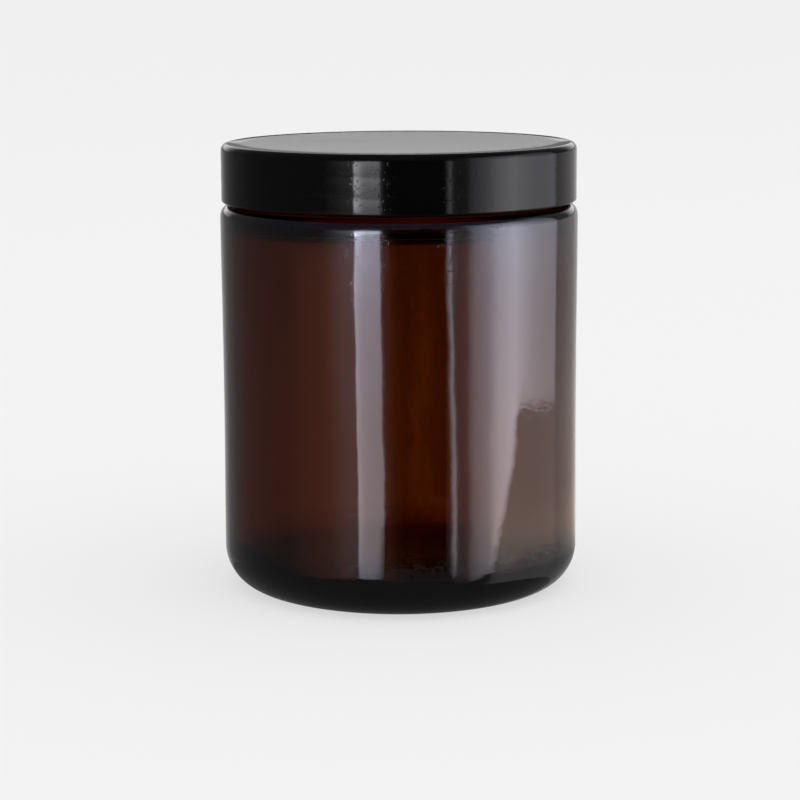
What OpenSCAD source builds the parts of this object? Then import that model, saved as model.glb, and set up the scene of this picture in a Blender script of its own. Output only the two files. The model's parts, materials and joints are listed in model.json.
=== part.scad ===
// Straight-sided cosmetic cream jar: a glass jar with a screw-thread neck, a smooth screw cap,
// and the foam liner with its facing that seals the rim.
// Millimetres. The jar stands on Z = 0 and its axis is the Z axis. The cap is drawn fully closed.

/* [Glass jar] */
// Height of the glass from its rest ring to the rim
jar_h = 88.9; // [60:0.5:120]
// Largest diameter, at the shoulder and at the heel
jar_d = 72.6; // [72.6:0.2:78]
// Thickness of the straight side wall
wall_t = 2.8; // [2.2:0.1:3.4]
// How far the side draws in at mid-height
waist_depth = 0.15; // [0:0.05:0.3]
// Thickness of the base above the rest ring
base_t = 4.4; // [3:0.1:6]
// Rise of the hollow under the base at its centre
push_up = 1.6; // [0.4:0.1:2.4]
// Width of the rounded heel, measured inward from the side
heel_w = 7.5; // [5:0.1:9]
// Height of the rounded heel
heel_h = 8.2; // [6:0.1:10]
// Radius of the shoulder's outer corner
shoulder_r = 2.3; // [0.8:0.1:2.3]

/* [Neck finish] */
// Height from the shoulder to the rim
finish_h = 10.5; // [10:0.1:12]
// Diameter of the neck below the thread crests
neck_d = 66.8; // [66.4:0.1:67]
// Diameter of the mouth
mouth_d = 60.8; // [58:0.2:62]
// Diameter over the thread crests
thread_d = 69.5; // [69:0.1:69.6]
// Rise of the thread in one turn
thread_pitch = 4.233; // [4:0.001:4.4]
// Length of the jar's thread, in turns
thread_turns = 1.15; // [1:0.05:1.25]

/* [Screw cap] */
// Outside diameter of the cap
cap_d = 72; // [71.8:0.1:74]
// Height of the cap
cap_h = 11.75; // [11.4:0.05:12]
// Thickness of the top panel
cap_top_t = 1.05; // [0.8:0.05:1.2]
// Inside diameter of the skirt
cap_bore_d = 70.1; // [70:0.1:70.3]
// Radius of the rounded upper edge
cap_edge_r = 1.4; // [0.6:0.1:2]
// Radius of the skirt's lower edge
cap_foot_r = 0.45; // [0.2:0.05:0.45]

/* [Liner] */
// Diameter of the liner
liner_d = 69.3; // [68:0.1:69.4]
// Thickness of the foam core as clamped on the rim
core_t = 0.57; // [0.4:0.01:1]
// Thickness of the facing below the core
facing_t = 0.12; // [0.08:0.01:0.2]

/* [Hidden] */
$fn = 144;

// Small gaps that keep the liner free of the rim and of the cap
seal_gap = 0.03;

// Glass jar: radii and levels
jar_r = jar_d / 2;
waist_r = jar_r - waist_depth;
inner_r = jar_r - wall_t;
neck_r = neck_d / 2;
mouth_r = mouth_d / 2;
shoulder_z = jar_h - finish_h;
shoulder_band = 1.4; // straight full-diameter band below the shoulder corner
heel_band = 1.2; // straight full-diameter band above the heel
waist_share = 0.43; // share of the side's height over which it draws in, at each end
rest_r = jar_r - heel_w;
rest_w = 1.4; // width of the flat ring the jar stands on
rim_edge_r = 0.9;
neck_fillet_r = 0.4;
neck_inner_drop = 6.9; // start of the inner shoulder curve below the outer shoulder
neck_inner_top_drop = 3; // end of that curve, at the mouth, below the outer shoulder
neck_inner_power = 2.8; // how squarely that curve turns, 2 being an ellipse
inner_heel_w = 6.5;
inner_heel_h = 7.2;
floor_crown = 0.9; // how much the inner floor rises towards its centre

// Thread form of the jar, a rounded bead sunk into the neck wall
bead_half_w = 1.2;
thread_sink = 0.35;
thread_top_drop = 2.55; // rim to the centre of the thread at its upper end
thread_fade = 24; // degrees over which each thread end grows to full height
end_sink = 0.1; // how far a thread's crest ends inside the wall, as a share of its height
ring_step = 5; // degrees between the rings that make up a thread
thread_start = 42.5; // angle of the jar thread's lower end

// Screw cap: levels and thread form
cap_r = cap_d / 2;
cap_bore_r = cap_bore_d / 2;
cap_inner_z = jar_h + core_t + facing_t + 2 * seal_gap;
cap_top_z = cap_inner_z + cap_top_t;
cap_foot_z = cap_top_z - cap_h;
cap_corner_r = 0.6; // fillet between the skirt and the top panel, inside
foot_inner_r = 0.35;
cap_thread_crest_r = neck_r + 0.35;
cap_thread_crest_half_w = 0.3;
cap_thread_root_half_w = 0.85;
cap_thread_lift = 0.3; // how far the cap thread sits above midway between the jar's turns
cap_thread_turns = 1.1;
cap_thread_lag = 45; // degrees from the jar thread's lower end to the cap thread's

glass_color = [0.36, 0.15, 0.05, 0.85];
cap_color = [0.06, 0.06, 0.065];
core_color = [0.93, 0.93, 0.91];
facing_color = [0.97, 0.97, 0.98];

// Points along an elliptical arc about (cx, cz), from angle a0 to a1 in steps steps
function arc(cx, cz, rx, rz, a0, a1, steps) =
    [for (i = [0:steps]) let (a = a0 + (a1 - a0) * i / steps) [cx + rx * cos(a), cz + rz * sin(a)]];

// Points along a quarter arc that turns more squarely than an ellipse, from angle a0 to a1 within 0 to 90
function squared_arc(cx, cz, rx, rz, a0, a1, steps, power) =
    [
        for (i = [0:steps])
            let (a = a0 + (a1 - a0) * i / steps)
            [cx + rx * pow(cos(a), 2 / power), cz + rz * pow(sin(a), 2 / power)]
    ];

// Points along a shallow crown of rise h over radius r above level z, from its centre outward
function crown(r, z, h, steps) =
    [for (i = [0:steps]) let (t = i / steps) [r * t, z + h * (1 - t * t)]];

function reversed(points) = [for (i = [len(points) - 1:-1:0]) points[i]];

// Outside of the glass, from the centre of the base to the outer edge of the rim
function jar_outside() = let (
    band_z = heel_h + heel_band,
    corner_z = shoulder_z - shoulder_r,
    side_top_z = corner_z - shoulder_band,
    waist_run = waist_share * (side_top_z - band_z)
) concat(
    crown(rest_r - rest_w, 0, push_up, 10),
    arc(rest_r, heel_h, heel_w, heel_h, -90, 0, 16),
    [
        [jar_r, band_z],
        [waist_r, band_z + waist_run],
        [waist_r, side_top_z - waist_run],
        [jar_r, side_top_z]
    ],
    arc(jar_r - shoulder_r, corner_z, shoulder_r, shoulder_r, 0, 90, 8),
    arc(neck_r + neck_fillet_r, shoulder_z + neck_fillet_r, neck_fillet_r, neck_fillet_r, 270, 180, 4),
    arc(neck_r - rim_edge_r, jar_h - rim_edge_r, rim_edge_r, rim_edge_r, 0, 90, 6)
);

// Inside of the glass, from the inner edge of the rim down to the centre of the floor
function jar_inside() = let (
    curve_z = shoulder_z - neck_inner_drop,
    curve_w = inner_r - mouth_r,
    curve_h = neck_inner_drop - neck_inner_top_drop
) concat(
    arc(mouth_r + rim_edge_r, jar_h - rim_edge_r, rim_edge_r, rim_edge_r, 90, 180, 6),
    squared_arc(mouth_r, curve_z, curve_w, curve_h, 90, 0, 14, neck_inner_power),
    arc(inner_r - inner_heel_w, base_t + inner_heel_h, inner_heel_w, inner_heel_h, 0, -90, 12),
    reversed(crown(inner_r - inner_heel_w - 1, base_t, floor_crown, 8))
);

// A thread swept round the Z axis, rising one pitch a turn from z_low at angle start.
// profile lists [distance from the wall, height], with its first and last point sunk in the wall. Towards
// both ends the profile shrinks into the wall. side is 1 for an outside thread and -1 for an inside one.
module thread(profile, wall_r, z_low, start, turns, side) {
    rings = round(turns * 360 / ring_step);
    count = len(profile);
    points = [
        for (i = [0:rings])
            let (a = i * ring_step, edge = min(a, rings * ring_step - a))
            let (k = (1 + end_sink) * sin(90 * min(1, edge / thread_fade)) - end_sink)
            for (p = profile)
                let (r = wall_r + side * (p[0] < 0 ? p[0] : p[0] * k))
                [
                    r * cos(start + a),
                    r * sin(start + a),
                    z_low + thread_pitch * a / 360 + p[1] * (1 + k) / 2
                ]
    ];
    skin = [
        for (i = [0:rings - 1], j = [0:count - 1])
            let (a = i * count + j, b = i * count + (j + 1) % count)
            each [[a, b, b + count], [a, b + count, a + count]]
    ];
    first_cap = [for (j = [0:count - 1]) count - 1 - j];
    last_cap = [for (j = [0:count - 1]) rings * count + j];
    polyhedron(points = points, faces = concat(skin, [first_cap, last_cap]), convexity = 6);
}

module glass_jar() {
    crest = (thread_d - neck_d) / 2;
    bead = concat(
        [[-thread_sink, -bead_half_w]],
        [for (a = [-75:25:75]) [crest * cos(a), bead_half_w * sin(a)]],
        [[-thread_sink, bead_half_w]]
    );
    color(glass_color) union() {
        rotate_extrude() polygon(concat(jar_outside(), jar_inside()));
        thread(bead, neck_r, jar_h - thread_top_drop - thread_pitch * thread_turns,
            thread_start, thread_turns, 1);
    }
}

module screw_cap() {
    crest = cap_bore_r - cap_thread_crest_r;
    ridge = [
        [-thread_sink, cap_thread_root_half_w],
        [0.1, cap_thread_root_half_w - 0.05],
        [crest - 0.1, cap_thread_crest_half_w + 0.1],
        [crest, cap_thread_crest_half_w - 0.05],
        [crest, -cap_thread_crest_half_w + 0.05],
        [crest - 0.1, -cap_thread_crest_half_w - 0.1],
        [0.1, -cap_thread_root_half_w + 0.05],
        [-thread_sink, -cap_thread_root_half_w]
    ];
    jar_thread_z = jar_h - thread_top_drop - thread_pitch * thread_turns;
    ridge_z = jar_thread_z - thread_pitch / 2 + cap_thread_lift + thread_pitch * cap_thread_lag / 360;
    color(cap_color) union() {
        rotate_extrude() polygon(concat(
            [[0, cap_inner_z]],
            arc(cap_bore_r - cap_corner_r, cap_inner_z - cap_corner_r, cap_corner_r, cap_corner_r, 90, 0, 5),
            arc(cap_bore_r + foot_inner_r, cap_foot_z + foot_inner_r, foot_inner_r, foot_inner_r, 180, 270, 4),
            arc(cap_r - cap_foot_r, cap_foot_z + cap_foot_r, cap_foot_r, cap_foot_r, -90, 0, 5),
            arc(cap_r - cap_edge_r, cap_top_z - cap_edge_r, cap_edge_r, cap_edge_r, 0, 90, 8),
            [[0, cap_top_z]]
        ));
        thread(ridge, cap_bore_r, ridge_z, thread_start + cap_thread_lag, cap_thread_turns, -1);
    }
}

module liner_core() {
    color(core_color)
        translate([0, 0, jar_h + seal_gap + facing_t])
            cylinder(d = liner_d, h = core_t);
}

module liner_facing() {
    color(facing_color)
        translate([0, 0, jar_h + seal_gap])
            cylinder(d = liner_d, h = facing_t);
}

glass_jar();
screw_cap();
liner_core();
liner_facing();
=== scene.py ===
import json
import math

import bpy
from mathutils import Euler, Matrix, Vector, noise


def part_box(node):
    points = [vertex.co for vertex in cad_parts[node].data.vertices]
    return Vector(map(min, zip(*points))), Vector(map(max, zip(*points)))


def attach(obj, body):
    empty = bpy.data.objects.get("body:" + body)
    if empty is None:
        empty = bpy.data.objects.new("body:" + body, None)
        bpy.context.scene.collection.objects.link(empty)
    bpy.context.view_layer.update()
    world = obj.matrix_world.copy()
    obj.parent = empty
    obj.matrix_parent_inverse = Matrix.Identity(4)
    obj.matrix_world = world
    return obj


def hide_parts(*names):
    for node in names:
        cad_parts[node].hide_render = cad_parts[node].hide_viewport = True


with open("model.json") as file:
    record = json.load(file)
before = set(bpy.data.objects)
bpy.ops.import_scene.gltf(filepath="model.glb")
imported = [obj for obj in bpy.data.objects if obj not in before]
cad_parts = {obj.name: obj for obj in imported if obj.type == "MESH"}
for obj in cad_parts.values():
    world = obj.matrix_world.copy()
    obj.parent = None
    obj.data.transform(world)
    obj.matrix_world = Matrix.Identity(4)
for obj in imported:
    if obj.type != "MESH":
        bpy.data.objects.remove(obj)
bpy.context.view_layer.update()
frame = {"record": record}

MM = 0.001
TURN = 2 * math.pi

# ---------------------------------------------------------------------------
# Sizes. Heights and outer radii come from the frame; the rest repeat the
# wall and thread sizes of the CAD part, in metres.
# ---------------------------------------------------------------------------

JAR_LOW, JAR_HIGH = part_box("glass_jar")
CAP_LOW, CAP_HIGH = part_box("screw_cap")
CORE_LOW, CORE_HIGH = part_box("liner_core")
FILM_LOW, FILM_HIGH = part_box("liner_facing")

RIM_Z = JAR_HIGH.z
JAR_R = JAR_HIGH.x
WALL = 2.8 * MM
WAIST_DEPTH = 0.15 * MM
BASE_T = 4.4 * MM
PUSH_UP = 1.6 * MM
HEEL_W = 7.5 * MM
HEEL_H = 8.2 * MM
SHOULDER_Z = RIM_Z - 10.5 * MM
SHOULDER_R = 2.3 * MM
NECK_R = 33.4 * MM
MOUTH_R = 30.4 * MM
ROOF_DROP = 6.9 * MM  # start of the inner shoulder curve below the outer shoulder
ROOF_H = 3.9 * MM  # height of that curve
ROOF_POWER = 2.8  # how squarely it turns, 2 being an ellipse
KNURL_DEPTH = 0.005 * MM
KNURL_PITCH = 4  # columns of the mesh to one knurl

PITCH = frame["record"]["behaviour"]["couplings"][0]["ratio"] * TURN
BEAD_H = 1.35 * MM  # how far the jar's thread stands out of the neck
BEAD_HALF_W = 1.2 * MM
JAR_TURNS = 1.15
JAR_THREAD_Z = RIM_Z - 2.55 * MM - PITCH * JAR_TURNS
THREAD_START = math.radians(42.5)
THREAD_FADE = math.radians(24)

CAP_R = CAP_HIGH.x
CAP_TOP_Z = CAP_HIGH.z
CAP_FOOT_Z = CAP_LOW.z
CAP_INNER_Z = CAP_TOP_Z - 1.05 * MM
CAP_BORE_R = 35.05 * MM
RIDGE_H = 1.3 * MM  # how far the cap's thread stands into its bore
RIDGE_HALF_W = 0.85 * MM
CAP_TURNS = 1.1
CAP_LAG = math.radians(45)
CAP_THREAD_Z = JAR_THREAD_Z - PITCH / 2 + 0.3 * MM + PITCH * CAP_LAG / TURN
CAP_BANDS = (-0.6 * MM, 3.3 * MM, 7.4 * MM, 11.4 * MM)  # edges of the skirt's bands above its foot
BAND_SAG = 0.02 * MM  # how far a band's edges lie below its middle
RIM_PRINT_HALF_W = 1.2 * MM
RIM_PRINT_DEPTH = 0.03 * MM

COLUMNS = 300  # mesh columns round the jar and the cap
DISC_COLUMNS = 180


# ---------------------------------------------------------------------------
# Turned shapes
# ---------------------------------------------------------------------------

def new_object(name, verts, faces):
    """A mesh object in the scene."""
    mesh = bpy.data.meshes.new(name)
    mesh.from_pydata(verts, [], faces)
    obj = bpy.data.objects.new(name, mesh)
    bpy.context.scene.collection.objects.link(obj)
    return obj


def arc(cx, cz, rx, rz, start, end, steps):
    """Points of an elliptical arc about (cx, cz), angles in degrees."""
    points = []
    for i in range(steps + 1):
        a = math.radians(start + (end - start) * i / steps)
        points.append((cx + rx * math.cos(a), cz + rz * math.sin(a)))
    return points


def squared_arc(cx, cz, rx, rz, start, end, steps, power):
    """Points of an arc like arc's, pushed out towards the corner of its box; power 2 is an ellipse."""
    points = []
    for i in range(steps + 1):
        a = math.radians(start + (end - start) * i / steps)
        across, up = max(math.cos(a), 0), max(math.sin(a), 0)
        points.append((cx + rx * across ** (2 / power), cz + rz * up ** (2 / power)))
    return points


def crown(radius, z, rise, steps):
    """Points of a shallow dome from its centre outward."""
    return [(radius * i / steps, z + rise * (1 - (i / steps) ** 2)) for i in range(steps + 1)]


def eased(r0, z0, r1, z1, steps):
    """A soft S-shaped step from (r0, z0) to (r1, z1)."""
    shares = [i / steps for i in range(steps + 1)]
    return [(r0 + (r1 - r0) * (1 - math.cos(math.pi * t)) / 2, z0 + (z1 - z0) * t) for t in shares]


def filled(points, step):
    """The outline with its long stretches divided into steps no longer than step."""
    out = [points[0]]
    for (r0, z0), (r1, z1) in zip(points, points[1:]):
        parts = max(1, math.ceil(math.hypot(r1 - r0, z1 - z0) / step))
        for i in range(1, parts + 1):
            out.append((r0 + (r1 - r0) * i / parts, z0 + (z1 - z0) * i / parts))
    return out


def turned(name, outline, shape=None, columns=COLUMNS):
    """A closed mesh turned about Z from an outline that starts and ends on the axis.
    shape(r, z, angle) gives the moved (r, z) of a point of the outline at that angle."""
    rings = outline[1:-1]
    verts = [(0, 0, outline[0][1])]
    for r, z in rings:
        for j in range(columns):
            angle = TURN * j / columns
            moved_r, moved_z = shape(r, z, angle) if shape else (r, z)
            verts.append((moved_r * math.cos(angle), moved_r * math.sin(angle), moved_z))
    verts.append((0, 0, outline[-1][1]))
    last = len(verts) - 1
    faces = []
    for j in range(columns):
        n = (j + 1) % columns
        faces.append((0, 1 + n, 1 + j))
        for k in range(len(rings) - 1):
            a, b = 1 + k * columns, 1 + (k + 1) * columns
            faces.append((a + j, a + n, b + n, b + j))
        top = 1 + (len(rings) - 1) * columns
        faces.append((last, top + j, top + n))
    obj = new_object(name, verts, faces)
    obj.data.shade_smooth()
    obj.data.update()
    return obj


def helix_height(angle, z, low_z, start, turns, half_w):
    """How far a helical thread stands up at this place, from 0 to 1, and 0 beside it."""
    best = 0.0
    run = (angle - start) % TURN
    while run <= turns * TURN:
        across = (z - (low_z + PITCH * run / TURN)) / half_w
        if abs(across) < 1:
            edge = min(run, turns * TURN - run)
            fade = math.sin(math.pi / 2 * min(1, edge / THREAD_FADE))
            best = max(best, fade * math.sqrt(1 - across * across))
        run += TURN
    return best


def ripple(r, z, angle, size, amount):
    """A smooth uneven surface, drawn out upwards a little, the same on every run."""
    upward = z * 0.6
    place = Vector((r * math.cos(angle), r * math.sin(angle), upward)) / size
    return amount * noise.noise(place)


# ---------------------------------------------------------------------------
# Materials
# ---------------------------------------------------------------------------

def new_material(name):
    material = bpy.data.materials.new(name)
    material.use_nodes = True
    tree = material.node_tree
    return material, tree, tree.nodes["Principled BSDF"]


def node(tree, kind, **values):
    """A new node. Values named in_NAME set its inputs, and the others its own settings."""
    made = tree.nodes.new(kind)
    for key, value in values.items():
        if key.startswith("in_"):
            made.inputs[key[3:].replace("_", " ")].default_value = value
        else:
            setattr(made, key, value)
    return made


def ramp(tree, source, low, high, low_value, high_value):
    """Maps source from low..high to low_value..high_value, held at both ends."""
    made = node(tree, "ShaderNodeMapRange")
    made.inputs["From Min"].default_value = low
    made.inputs["From Max"].default_value = high
    made.inputs["To Min"].default_value = low_value
    made.inputs["To Max"].default_value = high_value
    tree.links.new(source, made.inputs["Value"])
    return made.outputs["Result"]


def object_noise(tree, scale, detail=2.0, stretch=(1, 1, 1)):
    """Noise in the object's own metres: scale is waves a metre."""
    place = node(tree, "ShaderNodeTexCoord")
    mapping = node(tree, "ShaderNodeMapping")
    mapping.inputs["Scale"].default_value = stretch
    pattern = node(tree, "ShaderNodeTexNoise", in_Scale=scale, in_Detail=detail)
    tree.links.new(place.outputs["Object"], mapping.inputs["Vector"])
    tree.links.new(mapping.outputs["Vector"], pattern.inputs["Vector"])
    return pattern.outputs["Fac"]


def axes_of(tree, space="Object"):
    """The X, Y and Z outputs of the place in the object's own metres, or of another space."""
    place = node(tree, "ShaderNodeTexCoord")
    split = node(tree, "ShaderNodeSeparateXYZ")
    tree.links.new(place.outputs[space], split.inputs["Vector"])
    return split.outputs


def calc(tree, operation, *values):
    """A sum on values, each a number or the output of another node."""
    made = node(tree, "ShaderNodeMath", operation=operation)
    for socket, value in zip(made.inputs, values):
        if isinstance(value, (int, float)):
            socket.default_value = value
        else:
            tree.links.new(value, socket)
    return made.outputs["Value"]


def blend(tree, share, first, second):
    """The colour first where share is 0 and second where it is 1, each a colour or an output."""
    made = node(tree, "ShaderNodeMix", data_type="RGBA")
    for name, colour in (("A", first), ("B", second)):
        if isinstance(colour, tuple):
            made.inputs[name].default_value = (*colour, 1)
        else:
            tree.links.new(colour, made.inputs[name])
    tree.links.new(share, made.inputs["Factor"])
    return made.outputs["Result"]


def graded(tree, share, stops):
    """The strength that stops, (place, strength) pairs, give at share of the way from first to last."""
    first, last = stops[0][0], stops[-1][0]
    strongest = max(strength for _, strength in stops)
    shades = node(tree, "ShaderNodeValToRGB")
    elements = shades.color_ramp.elements
    while len(elements) < len(stops):
        elements.new(0.5)
    for element, (place, strength) in zip(elements, stops):
        element.position = (place - first) / (last - first)
        element.color = (*[strength / strongest] * 3, 1)
    tree.links.new(share, shades.inputs["Fac"])
    return calc(tree, "MULTIPLY", shades.outputs["Color"], strongest)


def bump(tree, shader, height, distance, before=None):
    """Adds a bump that stands distance high, on top of the bump before, to the shader."""
    made = node(tree, "ShaderNodeBump", in_Strength=1.0, in_Distance=distance)
    tree.links.new(height, made.inputs["Height"])
    if before:
        tree.links.new(before, made.inputs["Normal"])
    tree.links.new(made.outputs["Normal"], shader.inputs["Normal"])
    return made.outputs["Normal"]


def amber_glass():
    """Dark amber glass: clear at the surface, coloured by the thickness the light crosses."""
    material, tree, shader = new_material("amber_glass")
    shader.inputs["Base Color"].default_value = (1.0, 0.97, 0.93, 1)
    shader.inputs["IOR"].default_value = 1.52
    shader.inputs["Transmission Weight"].default_value = 1.0
    haze = object_noise(tree, 90, 4)
    tree.links.new(ramp(tree, haze, 0.45, 0.75, 0.0, 0.05), shader.inputs["Roughness"])
    waves = bump(tree, shader, object_noise(tree, 170, 1, (1, 1, 0.5)), 0.035 * MM)
    peel = bump(tree, shader, object_noise(tree, 520, 2), 0.009 * MM, before=waves)
    # small pits, near the shoulder and just above the heel
    level = axes_of(tree)["Z"]
    above_heel = ramp(tree, level, 8.5 * MM, 10 * MM, 0, 1)
    near_heel = calc(tree, "MULTIPLY", above_heel, ramp(tree, level, 11 * MM, 15 * MM, 1, 0))
    near_ends = calc(tree, "ADD", ramp(tree, level, 60 * MM, 72 * MM, 0, 1), near_heel)
    pits = ramp(tree, object_noise(tree, 1700, 2, (1, 1, 1.5)), 0.6, 0.74, 0, 1)
    bump(tree, shader, calc(tree, "MULTIPLY", pits, near_ends), 0.009 * MM, before=peel)
    body = node(tree, "ShaderNodeVolumeAbsorption")
    body.inputs["Color"].default_value = (0.775, 0.44, 0.02, 1)
    body.inputs["Density"].default_value = 1020
    tree.links.new(body.outputs["Volume"], tree.nodes["Material Output"].inputs["Volume"])
    return material


def black_plastic():
    """Black moulded plastic with a glossy skirt and a satin top."""
    material, tree, shader = new_material("black_plastic")
    shader.inputs["Specular IOR Level"].default_value = 0.15
    shader.inputs["Specular Tint"].default_value = (1.0, 0.95, 0.82, 1)
    tone = blend(tree, object_noise(tree, 60, 3), (0.0012, 0.0012, 0.0013), (0.0026, 0.0025, 0.0026))
    tree.links.new(tone, shader.inputs["Base Color"])
    on_top = ramp(tree, axes_of(tree)["Z"], CAP_TOP_Z - 0.5 * MM, CAP_TOP_Z - 0.02 * MM, 0, 1)
    smudges = ramp(tree, object_noise(tree, 45, 4), 0.35, 0.7, 0.0, 0.03)
    rough = calc(tree, "MULTIPLY_ADD", on_top, 0.09, calc(tree, "ADD", smudges, 0.04))
    tree.links.new(rough, shader.inputs["Roughness"])
    peel = bump(tree, shader, object_noise(tree, 700, 2), 0.004 * MM)
    pits = ramp(tree, object_noise(tree, 1300, 2), 0.6, 0.75, 0, 1)
    pitted = bump(tree, shader, pits, 0.01 * MM, before=peel)
    grain = calc(tree, "MULTIPLY", object_noise(tree, 4500, 2), on_top)
    bump(tree, shader, grain, 0.006 * MM, before=pitted)
    return material


def liner_foam():
    """White closed-cell foam."""
    material, tree, shader = new_material("liner_foam")
    shader.inputs["Roughness"].default_value = 0.85
    cells = node(tree, "ShaderNodeTexVoronoi", in_Scale=5000.0)
    place = node(tree, "ShaderNodeTexCoord")
    tree.links.new(place.outputs["Object"], cells.inputs["Vector"])
    tone = blend(tree, cells.outputs["Distance"], (0.72, 0.72, 0.69), (0.86, 0.86, 0.84))
    tree.links.new(tone, shader.inputs["Base Color"])
    bump(tree, shader, cells.outputs["Distance"], 0.05 * MM)
    return material


def liner_film():
    """Smooth white film, mottled a little in tone and dullness."""
    material, tree, shader = new_material("liner_film")
    mottle = object_noise(tree, 140, 3)
    tone = blend(tree, mottle, (0.80, 0.80, 0.79), (0.90, 0.90, 0.90))
    tree.links.new(tone, shader.inputs["Base Color"])
    tree.links.new(ramp(tree, mottle, 0.3, 0.7, 0.28, 0.42), shader.inputs["Roughness"])
    bump(tree, shader, object_noise(tree, 900, 3), 0.01 * MM)
    return material


# ---------------------------------------------------------------------------
# The jar
# ---------------------------------------------------------------------------

def jar_outline():
    """Both faces of the glass, from the middle of the base up over the rim to the middle of the floor."""
    rest_r = JAR_R - HEEL_W
    rest_w = 1.4 * MM
    waist_r = JAR_R - WAIST_DEPTH
    inner_r = JAR_R - WALL
    corner_z = SHOULDER_Z - SHOULDER_R
    side_top = corner_z - 1.4 * MM
    side_low = HEEL_H + 1.2 * MM
    draw_in = 28 * MM
    fillet = 0.4 * MM
    rim = 0.9 * MM
    roof_z = SHOULDER_Z - ROOF_DROP
    heel_in_w, heel_in_h = 6.5 * MM, 7.2 * MM
    floor_r = inner_r - heel_in_w
    floor_rise = 0.9 * MM
    floor_edge = 1.0 * MM
    outside = (
        crown(rest_r - rest_w, 0, PUSH_UP, 14)
        + arc(rest_r, HEEL_H, HEEL_W, HEEL_H, -90, 0, 26)
        + eased(JAR_R, side_low, waist_r, side_low + draw_in, 16)
        + eased(waist_r, side_top - draw_in, JAR_R, side_top, 16)
        + arc(JAR_R - SHOULDER_R, corner_z, SHOULDER_R, SHOULDER_R, 0, 90, 10)
        + arc(NECK_R + fillet, SHOULDER_Z + fillet, fillet, fillet, 270, 180, 5)
    )
    neck = filled([(NECK_R, SHOULDER_Z + fillet), (NECK_R, RIM_Z - rim)], 0.22 * MM)[1:]
    lip = arc(NECK_R - rim, RIM_Z - rim, rim, rim, 0, 90, 7)[1:] + arc(
        MOUTH_R + rim, RIM_Z - rim, rim, rim, 90, 180, 7
    )
    inside = (
        squared_arc(MOUTH_R, roof_z, inner_r - MOUTH_R, ROOF_H, 90, 0, 20, ROOF_POWER)
        + arc(floor_r, BASE_T + heel_in_h, heel_in_w, heel_in_h, 0, -90, 20)
        + crown(floor_r - floor_edge, BASE_T, floor_rise, 10)[::-1]
    )
    return filled(outside, 1.0 * MM) + neck + lip + filled(inside, 1.2 * MM)


def glass_shape(r, z, angle):
    """The moulded unevenness of the glass, the thread bead and the knurled rest ring."""
    outer = r > JAR_R - 0.6 * WALL and z < SHOULDER_Z
    if outer and z > 1.0 * MM:
        room = 0.012 * MM  # keeps the waves inside the CAD outline
        broad, fine = ripple(r, z, angle, 11 * MM, 0.016 * MM), ripple(r, z, angle, 4 * MM, 0.003 * MM)
        r = min(r - room + (broad + fine), JAR_R)
    elif abs(r - NECK_R) < 0.01 * MM and z > SHOULDER_Z:
        r += BEAD_H * helix_height(angle, z, JAR_THREAD_Z, THREAD_START, JAR_TURNS, BEAD_HALF_W)
    elif r < JAR_R - 0.9 * WALL and 8 * MM < z < SHOULDER_Z - ROOF_DROP - 0.3 * MM:
        r += ripple(r, z, angle, 17 * MM, 0.05 * MM)
    elif z < 0.02 * MM and r > 20 * MM:
        z += KNURL_DEPTH * (1 - math.cos(angle * COLUMNS / KNURL_PITCH)) / 2
    return r, z


def make_jar():
    jar = turned("jar_glass", jar_outline(), glass_shape)
    jar.data.materials.append(amber_glass())
    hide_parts("glass_jar")
    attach(jar, "jar")


# ---------------------------------------------------------------------------
# The cap and its liner
# ---------------------------------------------------------------------------

def cap_outline():
    """The inside of the cap from its middle to its foot, then the outside back to the middle."""
    corner = 0.6 * MM
    foot_in, foot_out = 0.35 * MM, 0.45 * MM
    edge = 1.4 * MM
    rise = 0.02 * MM
    top = crown(CAP_R - edge, CAP_TOP_Z - rise, rise, 12)[::-1]
    roof = [(0, CAP_INNER_Z), (CAP_BORE_R - corner, CAP_INNER_Z)]
    return (
        filled(roof, 3 * MM)
        + arc(CAP_BORE_R - corner, CAP_INNER_Z - corner, corner, corner, 90, 0, 6)[1:]
        + filled(
            [(CAP_BORE_R, CAP_INNER_Z - corner), (CAP_BORE_R, CAP_FOOT_Z + foot_in)], 0.2 * MM
        )[1:]
        + arc(CAP_BORE_R + foot_in, CAP_FOOT_Z + foot_in, foot_in, foot_in, 180, 270, 5)[1:]
        + arc(CAP_R - foot_out, CAP_FOOT_Z + foot_out, foot_out, foot_out, -90, 0, 6)
        + filled([(CAP_R, CAP_FOOT_Z + foot_out), (CAP_R, CAP_TOP_Z - edge)], 0.3 * MM)[1:]
        + arc(CAP_R - edge, CAP_TOP_Z - edge, edge, edge, 0, 90, 12)[1:]
        + top
    )


def cap_shape(r, z, angle):
    """The inside thread, and the faint bands that its moulding leaves on the skirt."""
    if abs(r - CAP_BORE_R) < 0.01 * MM and z > CAP_FOOT_Z + 0.3 * MM:
        r -= RIDGE_H * helix_height(
            angle, z, CAP_THREAD_Z, THREAD_START + CAP_LAG, CAP_TURNS, RIDGE_HALF_W
        )
    elif r > CAP_R - 0.01 * MM:
        wander = ripple(r, 0, angle, 25 * MM, 0.25 * MM)  # the bands aren't quite level
        for low, high in zip(CAP_BANDS, CAP_BANDS[1:]):
            across = (2 * (z - CAP_FOOT_Z - wander) - low - high) / (high - low)
            if abs(across) < 1:
                r -= BAND_SAG * across * across
        r -= abs(ripple(r, z, angle, 9 * MM, 0.006 * MM))
    return r, z


def make_cap():
    cap = turned("cap_shell", cap_outline(), cap_shape)
    cap.data.materials.append(black_plastic())
    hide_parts("screw_cap")
    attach(cap, "cap")


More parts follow.
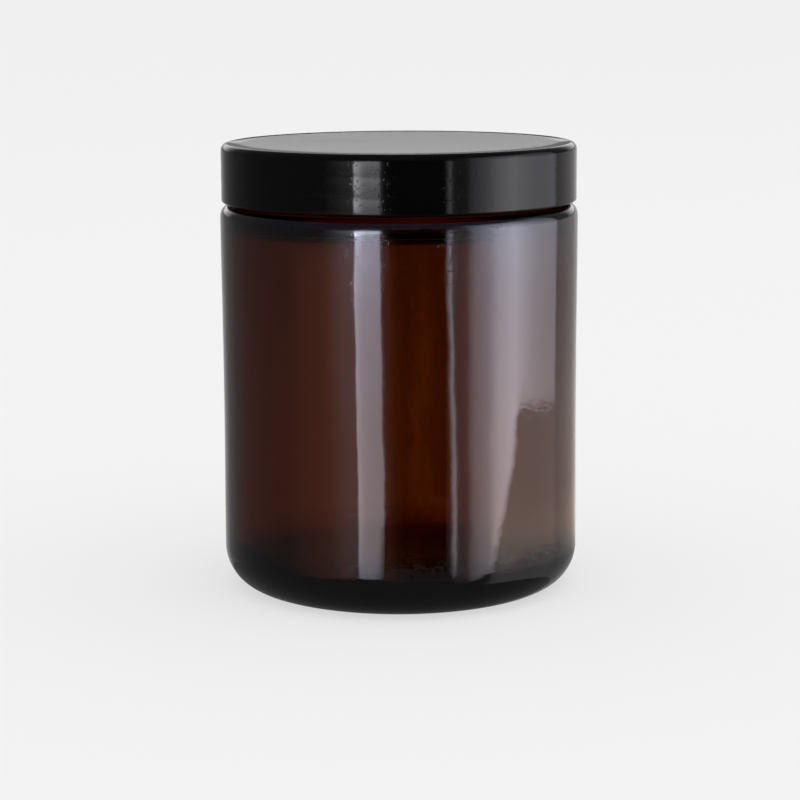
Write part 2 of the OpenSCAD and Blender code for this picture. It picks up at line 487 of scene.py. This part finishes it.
def disc_outline(radius, low, high):
    """A thin disc with a rounded edge."""
    edge = (high - low) / 2
    middle = (high + low) / 2
    return (
        filled([(0, low), (radius - edge, low)], 1.2 * MM)
        + arc(radius - edge, middle, edge, edge, -90, 90, 8)[1:]
        + filled([(radius - edge, high), (0, high)], 3 * MM)[1:]
    )


def film_shape(r, z, angle):
    """The ring that the jar's rim has pressed into the film."""
    ring = (r - (NECK_R + MOUTH_R) / 2) / RIM_PRINT_HALF_W
    if z < FILM_LOW.z + 0.01 * MM and abs(ring) < 1:
        z += RIM_PRINT_DEPTH * math.cos(ring * math.pi / 2)
    return r, z


def make_liner():
    core_outline = disc_outline(CORE_HIGH.x, CORE_LOW.z, CORE_HIGH.z)
    core = turned("liner_foam_disc", core_outline, columns=DISC_COLUMNS)
    core.data.materials.append(liner_foam())
    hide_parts("liner_core")
    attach(core, "liner")
    film_outline = disc_outline(FILM_HIGH.x, FILM_LOW.z, FILM_HIGH.z)
    film = turned("liner_film_disc", film_outline, film_shape, DISC_COLUMNS)
    film.data.materials.append(liner_film())
    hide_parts("liner_facing")
    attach(film, "liner")


# ---------------------------------------------------------------------------
# Camera
# ---------------------------------------------------------------------------

def make_camera():
    """A long lens half a metre in front, looking a little down, with a slight roll."""
    data = bpy.data.cameras.new("camera")
    data.lens = 109.4
    data.sensor_width = 36
    data.clip_end = 60
    camera = bpy.data.objects.new("camera", data)
    bpy.context.scene.collection.objects.link(camera)
    pitch_down = math.radians(10.0)
    roll = 0.005
    camera.location = (0, -0.4936, 0.12464)
    tilt = Euler((math.pi / 2 - pitch_down, 0, 0)).to_matrix().to_4x4()
    camera.rotation_euler = (tilt @ Matrix.Rotation(-roll, 4, "Z")).to_euler()
    bpy.context.scene.camera = camera


# ---------------------------------------------------------------------------
# Studio: the cards that the gloss picks up, the world, the floor and a soft light
# ---------------------------------------------------------------------------

# The camera looks down, so the jar's side mirrors what is below the floor's level: the cards reach
# down there, and the floor doesn't show in the gloss. Heights are in metres at CARD_RADIUS.
CARD_RADIUS = 1.5
CARD_COLUMNS = 32
LEAN_LOW, LEAN_HIGH = -0.26, -0.16  # the strengths shift sideways between these heights
CUT_SOFTNESS = 5.0  # degrees over which a slanting edge fades
FOOT_TINT_Z, LOW_TINT_Z, HIGH_TINT_Z = -0.365, -0.32, -0.08


def emission_material(name, colour, strength):
    material = bpy.data.materials.new(name)
    material.use_nodes = True
    tree = material.node_tree
    tree.nodes.remove(tree.nodes["Principled BSDF"])
    glow = node(tree, "ShaderNodeEmission")
    glow.inputs["Color"].default_value = (*colour, 1)
    glow.inputs["Strength"].default_value = strength
    tree.links.new(glow.outputs["Emission"], tree.nodes["Material Output"].inputs["Surface"])
    return material, tree, glow


def curved_card(name, left, right, low, high, radius, columns):
    """A card round the jar between two azimuths and two heights, seen only in the gloss."""
    verts = []
    for z in (low, high):
        for j in range(columns + 1):
            a = math.radians(left + (right - left) * j / columns)
            verts.append((radius * math.sin(a), -radius * math.cos(a), z))
    faces = [(j, j + 1, j + columns + 2, j + columns + 1) for j in range(columns)]
    card = new_object(name, verts, faces)
    card.visible_camera = False
    card.visible_diffuse = False
    card.visible_transmission = False
    card.visible_volume_scatter = False
    card.visible_shadow = False
    return card


def left_of_cut(tree, cut, level, azimuth):
    """1 left of the slanting edge that cut lists as (height, azimuth), and softly 0 right of it."""
    least = min(edge for _, edge in cut)
    height = ramp(tree, level, cut[0][0], cut[-1][0], 0, 1)
    beyond = graded(tree, height, [(z, edge - least) for z, edge in cut])
    reach = calc(tree, "MULTIPLY_ADD", beyond, math.radians(1), math.radians(least))
    room = calc(tree, "SUBTRACT", reach, azimuth)
    soft = math.radians(CUT_SOFTNESS / 2)
    return ramp(tree, room, -soft, soft, 0, 1)


def glow_card(name, colour, low_colour, across, upward, cut=None, lean=0):
    """A card that adds its light to what is behind it in the gloss.
    Its colour is low_colour at LOW_TINT_Z, and colour from HIGH_TINT_Z up and from FOOT_TINT_Z down.
    across lists (azimuth, strength), azimuth 0 towards the camera and growing to its right; upward
    lists (height, share of that strength). cut lists (height, azimuth) where a soft right edge slants.
    lean is how many degrees the strengths shift from LEAN_HIGH down to LEAN_LOW."""
    left, right = across[0][0], across[-1][0]
    low, high = upward[0][0], upward[-1][0]
    card = curved_card(name, left - lean, right + lean, low, high, CARD_RADIUS, CARD_COLUMNS)
    material, tree, glow = emission_material(name, colour, 1)
    axes = axes_of(tree)
    level = axes["Z"]
    azimuth = calc(tree, "ARCTAN2", axes["X"], calc(tree, "MULTIPLY", axes["Y"], -1))
    shift = ramp(tree, level, LEAN_LOW, LEAN_HIGH, -math.radians(lean), 0)
    leaning = calc(tree, "ADD", shift, azimuth)
    along = ramp(tree, leaning, math.radians(left), math.radians(right), 0, 1)
    up = ramp(tree, level, low, high, 0, 1)
    light = calc(tree, "MULTIPLY", graded(tree, along, across), graded(tree, up, upward))
    if cut:
        light = calc(tree, "MULTIPLY", light, left_of_cut(tree, cut, level, azimuth))
    tree.links.new(light, glow.inputs["Strength"])
    upper = ramp(tree, level, LOW_TINT_Z, HIGH_TINT_Z, 0, 1)
    foot = ramp(tree, level, FOOT_TINT_Z, LOW_TINT_Z, 1, 0)
    tint = blend(tree, calc(tree, "MAXIMUM", upper, foot), low_colour, colour)
    tree.links.new(tint, glow.inputs["Color"])
    clear = node(tree, "ShaderNodeBsdfTransparent")
    added = node(tree, "ShaderNodeAddShader")
    tree.links.new(glow.outputs["Emission"], added.inputs[0])
    tree.links.new(clear.outputs["BSDF"], added.inputs[1])
    tree.links.new(added.outputs["Shader"], tree.nodes["Material Output"].inputs["Surface"])
    card.data.materials.append(material)


def dark_card(name, left, right, low, high):
    """A black card just beyond the glowing ones, which keeps the middle of the jar dark."""
    columns = 24
    card = curved_card(name, left, right, low, high, CARD_RADIUS + 0.1, columns)
    card.data.materials.append(emission_material(name, (0, 0, 0), 0)[0])


def make_cards():
    """What the glass and the cap reflect: two bright slits, a stepped window, the walls and a warm painted
    reflection standing in for the second reflection from the glass's inner surface. Heights and azimuths are
    fitted."""
    daylight, low_daylight = (0.78, 0.80, 1.0), (1.05, 0.90, 0.95)
    low, sill, high = -0.37, -0.23, 1.3
    glow_card(
        "slit_left", daylight, low_daylight,
        ((-47.7, 0.0), (-39.7, 0.4), (-35.7, 0.7), (-31.7, 0.9), (-28.8, 1.1), (-27.6, 6.3), (-22.7, 6.2),
         (-19.7, 6.1), (-13.7, 5.8), (-12.3, 5.2), (-11.1, 0.8), (-9.1, 0.15), (-4, 0.0)),
        ((low, 0.0), (-0.355, 0.45), (-0.338, 0.5), (-0.311, 0.5), (-0.28, 0.6), (-0.217, 0.66),
         (-0.16, 0.82), (-0.12, 1.0), (-0.085, 1.2), (-0.06, 1.2), (0.0, 2.0), (0.14, 1.6), (0.3, 0.8),
         (0.45, 0.1), (high, 0.0)),
        cut=((low, -13), (-0.34, -12), (-0.3, -11), (-0.27, -5), (high, -5)),
        lean=1.5,
    )
    glow_card(
        "slit_edge", daylight, low_daylight,
        ((-28.8, 0.0), (-27.6, 1.0), (-26, 0.75), (-24.2, 0.4), (-22.5, 0.15), (-20, 0.0)),
        ((low, 0.0), (-0.35, 1.0), (-0.3, 1.3), (-0.2, 1.8), (-0.16, 1.7), (-0.12, 2.8), (-0.09, 5.0),
         (-0.06, 18.0), (-0.01, 18.0), (0.05, 4.0), (0.3, 0.0)),
        lean=1.5,
    )
    glow_card(
        "slit_right", daylight, low_daylight,
        ((27.8, 0.0), (29.2, 0.2), (30.8, 1.7), (32.4, 2.8), (33.4, 0.9), (34.6, 0.2), (36, 0.0)),
        ((low, 0.0), (-0.345, 0.7), (-0.3, 1.0), (-0.16, 1.15), (-0.09, 1.3), (-0.05, 1.5), (0.14, 1.0),
         (0.3, 0.5), (0.45, 0.0)),
        lean=2.5,
    )
    glow_card(
        "window_bar", daylight, low_daylight,
        ((33, 0.0), (35, 0.4), (40, 0.36), (43, 0.5), (45.5, 1.5), (48, 2.3), (56, 3.8), (66, 5.6),
         (77, 6.8), (86, 5.6)),
        ((-0.6, 0.3), (low, 0.5), (-0.338, 0.68), (-0.3, 0.74), (-0.26, 0.78), (-0.16, 0.86), (-0.09, 1.0),
         (0.3, 1.0), (0.6, 0.75), (high, 0.2)),
        cut=((-0.6, 46), (low, 54), (-0.346, 61.9), (-0.319, 64.8), (-0.26, 74.9), (-0.215, 83), (high, 83)),
    )
    # painted reflection: a warm card, seen only in the gloss, standing in for the second reflection from the
    # glass's inner surface
    glow_card(
        "painted_inner_reflection", (1.0, 0.36, 0.2), (1.0, 0.36, 0.2),
        ((-76, 0.0), (-66, 0.2), (-56, 0.35), (-45, 0.6), (-36, 0.55), (-30, 0.3), (-26, 0.0), (-12, 0.0),
         (-9, 0.45), (-6, 0.4), (-3, 0.18), (2, 0.0), (35, 0.0), (44, 0.4), (54, 0.3), (62, 0.0)),
        ((-0.4, 0.6), (-0.2, 0.8), (-0.12, 1.0), (-0.1, 0.8), (-0.08, 0.0)),
    )
    glow_card(
        "window_side", daylight, low_daylight,
        ((81, 0.0), (85, 4.6), (88, 4.3), (94, 3.1), (100, 2.4), (108, 1.7), (116, 1.25), (118, 1.0),
         (120, 0.0)),
        ((sill, 0.0), (sill + 0.016, 0.8), (-0.1, 1.0), (0.4, 1.0), (high, 0.3)),
    )
    glow_card(
        "wall_right", (0.98, 0.93, 0.95), (1.1, 0.84, 0.72),
        ((58, 0.1), (63, 1.0), (70, 1.25), (82, 1.1), (98, 0.88), (114, 0.67), (122, 0.42), (130, 0.4),
         (148, 0.34), (160, 0.46), (172, 0.45)),
        ((-0.9, 0.4), (-0.4, 0.45), (-0.35, 0.7), (-0.335, 1.3), (-0.315, 1.65), (-0.28, 1.35), (-0.22, 1.3),
         (-0.14, 1.0), (-0.02, 1.2), (0.16, 1.2)),
    )
    glow_card(
        "wall_left", (0.95, 0.97, 1.0), (0.95, 0.97, 1.0),
        ((-172, 0.45), (-158, 0.3), (-148, 0.12), (-132, 0.04), (-110, 0.0)),
        ((-0.5, 0.8), (0.16, 1.0)),
    )
    dark_card("dark_room", -10, 29, low, 0.6)


def gloss_background(tree, axes):
    """What the gloss sees: a dim room with a bright band above the horizon behind the jar."""
    rising = ramp(tree, axes["Z"], 0.066, 0.111, 0.0, 1.27)
    setting = ramp(tree, axes["Z"], 0.2, 0.5, 1.0, 0.0)
    behind = ramp(tree, axes["Y"], 0.75, 0.93, 0.0, 1.0)
    room = 0.15
    band = calc(tree, "MULTIPLY", rising, setting)
    bluer_up = ramp(tree, axes["Z"], 0.1, 0.25, 0, 1)
    bluer_in_front = ramp(tree, axes["Y"], -0.1, 0.3, 1, 0)
    bluer = calc(tree, "MULTIPLY", bluer_up, bluer_in_front)
    made = node(tree, "ShaderNodeBackground")
    tree.links.new(blend(tree, bluer, (0.99, 0.99, 1.0), (1.0, 1.0, 1.55)), made.inputs["Color"])
    tree.links.new(calc(tree, "MULTIPLY_ADD", band, behind, room), made.inputs["Strength"])
    return made


def through_background(tree, axes):
    """What shows through the glass: a dim table with a paler stripe below, a bluish wall above."""
    low = ramp(tree, axes["Z"], -0.6, -0.25, 1, 0)
    high = ramp(tree, axes["Z"], 0.0, 0.15, 0, 1)
    table = ramp(tree, axes["Z"], -0.22, -0.1, 0.127, 0.086)
    stripe_left = ramp(tree, axes["X"], 0.004, 0.016, 0, 1)
    stripe = calc(tree, "MULTIPLY", stripe_left, ramp(tree, axes["X"], 0.016, 0.028, 0.6, 0))
    tone = blend(tree, low, (1.0, 1.0, 0.98), (1.05, 1.9, 1.2))
    made = node(tree, "ShaderNodeBackground")
    tree.links.new(blend(tree, high, tone, (1.0, 1.5, 1.7)), made.inputs["Color"])
    tree.links.new(calc(tree, "MULTIPLY_ADD", stripe, table, table), made.inputs["Strength"])
    return made


def make_world():
    """Pale to the camera and as light, but a dim room to the gloss and to rays through the glass."""
    world = bpy.data.worlds.new("studio")
    bpy.context.scene.world = world
    world.use_nodes = True
    tree = world.node_tree
    rays = node(tree, "ShaderNodeLightPath")
    axes = axes_of(tree, "Generated")
    pale = tree.nodes["Background"]
    pale.inputs["Color"].default_value = (0.875, 0.875, 0.885, 1)
    last = pale.outputs["Background"]
    # a ray through the glass can also count as glossy, so the transmission rays come last
    for kind, background in (
        ("Is Glossy Ray", gloss_background(tree, axes)),
        ("Is Transmission Ray", through_background(tree, axes)),
    ):
        mix = node(tree, "ShaderNodeMixShader")
        tree.links.new(rays.outputs[kind], mix.inputs["Fac"])
        tree.links.new(last, mix.inputs[1])
        tree.links.new(background.outputs["Background"], mix.inputs[2])
        last = mix.outputs["Shader"]
    tree.links.new(last, tree.nodes["World Output"].inputs["Surface"])


def make_floor():
    """Pale paper under the jar, with a soft shadow, seen only directly."""
    half = 14.0
    corners = [(-half, -half, 0), (half, -half, 0), (half, half, 0), (-half, half, 0)]
    floor = new_object("floor", corners, [(0, 1, 2, 3)])
    floor.location.z = JAR_LOW.z - 0.02 * MM
    material, _, shader = new_material("floor_paper")
    shader.inputs["Base Color"].default_value = (0.3, 0.3, 0.3, 1)
    shader.inputs["Roughness"].default_value = 0.9
    shader.inputs["Specular IOR Level"].default_value = 0
    shader.inputs["Emission Color"].default_value = (0.995, 0.995, 1.0, 1)
    shader.inputs["Emission Strength"].default_value = 0.613
    floor.data.materials.append(material)
    floor.visible_glossy = False
    floor.visible_transmission = False


def make_under_jar():
    """A painted shadow: a disc whose glow is dark in the middle, standing in for the shaded floor under the
    jar and in front of it, seen only through the glass.
    """
    columns = 96
    radius = 62 * MM
    dark_r = 50 * MM
    angles = [TURN * j / columns for j in range(columns)]
    edge = [(radius * math.cos(angle), radius * math.sin(angle), 0) for angle in angles]
    patch = new_object("under_jar", edge, [tuple(range(columns))])
    patch.location = (0, -23 * MM, JAR_LOW.z - 0.01 * MM)
    material, tree, glow = emission_material("painted_floor_shadow", (1.0, 0.95, 0.9), 1)
    place = node(tree, "ShaderNodeTexCoord")
    distance = node(tree, "ShaderNodeVectorMath", operation="LENGTH")
    tree.links.new(place.outputs["Object"], distance.inputs[0])
    # painted shadow: the glow is almost nothing out to dark_r and rises towards the disc's edge
    shade = ramp(tree, distance.outputs["Value"], dark_r, radius, 0.006, 0.13)
    tree.links.new(shade, glow.inputs["Strength"])
    patch.data.materials.append(material)
    patch.visible_camera = False
    patch.visible_glossy = False
    patch.visible_diffuse = False
    patch.visible_shadow = False


def make_key_light():
    """A weak soft light from above, which shades the floor but doesn't show in the glass."""
    data = bpy.data.lights.new("soft_key", "AREA")
    data.shape = "RECTANGLE"
    data.size = 1.6
    data.size_y = 1.2
    data.energy = 3.0
    light = bpy.data.objects.new("soft_key", data)
    bpy.context.scene.collection.objects.link(light)
    light.location = (0.5, -0.3, 1.4)
    aim = Vector((0, 0, 0.04)) - Vector(light.location)
    light.rotation_euler = aim.to_track_quat("-Z", "Y").to_euler()
    light.visible_camera = False
    light.visible_glossy = False
    light.visible_transmission = False


make_camera()
make_jar()
make_cap()
make_liner()
make_world()
make_floor()
make_under_jar()
make_cards()
make_key_light()
bpy.context.scene.view_settings.view_transform = "Standard"
